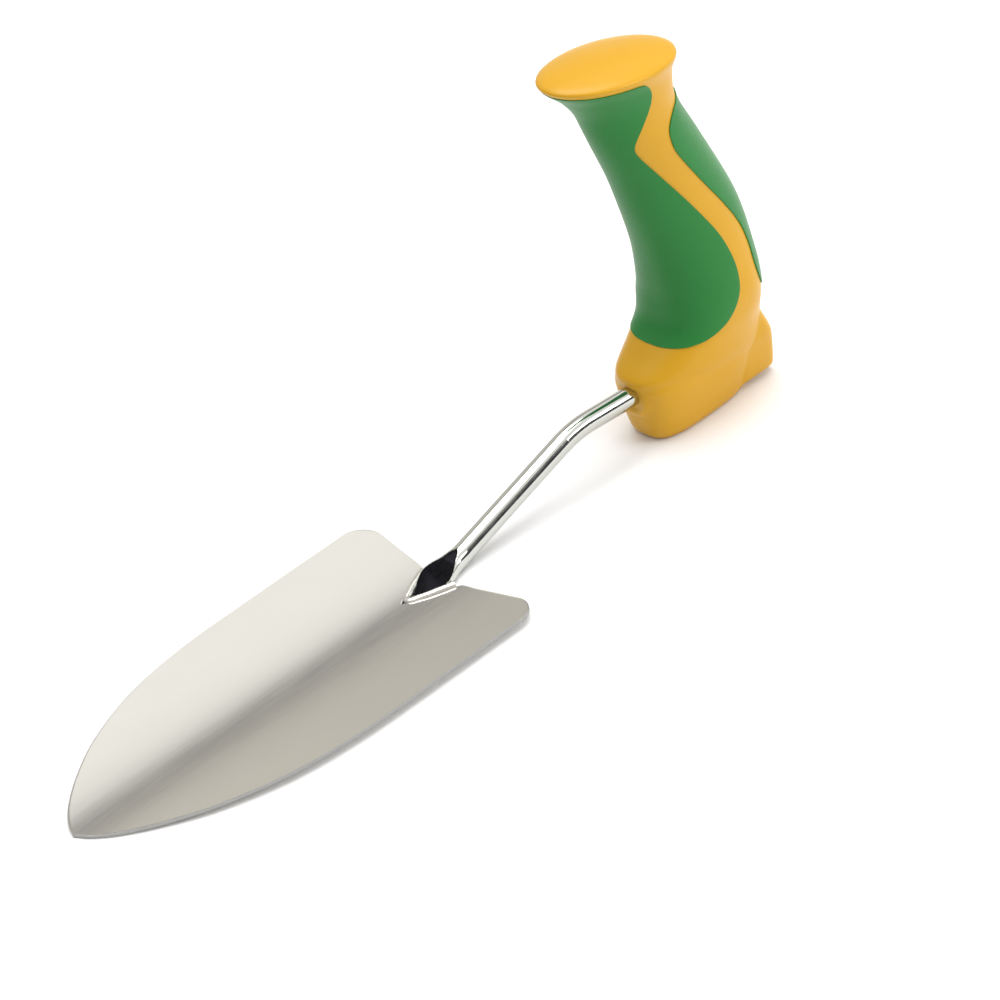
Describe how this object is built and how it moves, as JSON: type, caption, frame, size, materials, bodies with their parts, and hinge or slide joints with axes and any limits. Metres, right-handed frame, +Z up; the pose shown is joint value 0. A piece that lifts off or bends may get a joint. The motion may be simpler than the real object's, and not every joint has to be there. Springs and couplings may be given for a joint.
{
  "type": "hand trowel",
  "caption": "Hand trowel with a folded sheet-steel blade, a cranked round shaft and an upright two-colour soft grip under an oval thumb rest.",
  "frame": {"origin": "on the surface that the trowel lies on, under the middle of its length and width", "axes": "+X towards the blade's tip, +Y to the user's left, +Z up along the upright grip"},
  "size_m": [0.27, 0.074, 0.1245],
  "materials": {
    "blade_steel": "satin polished stainless sheet",
    "shaft_steel": "mirror polished round bar",
    "weld_steel": "ground and polished weld metal",
    "yellow_plastic": "semi-gloss moulded plastic",
    "green_rubber": "smooth soft overmoulding"
  },
  "bodies": {
    "root": {"blade": "blade_steel", "shaft": "shaft_steel", "weld_bead": "weld_steel", "handle_core": "yellow_plastic", "front_pad": "green_rubber", "rear_pad": "green_rubber"}
  },
  "joints": []
}
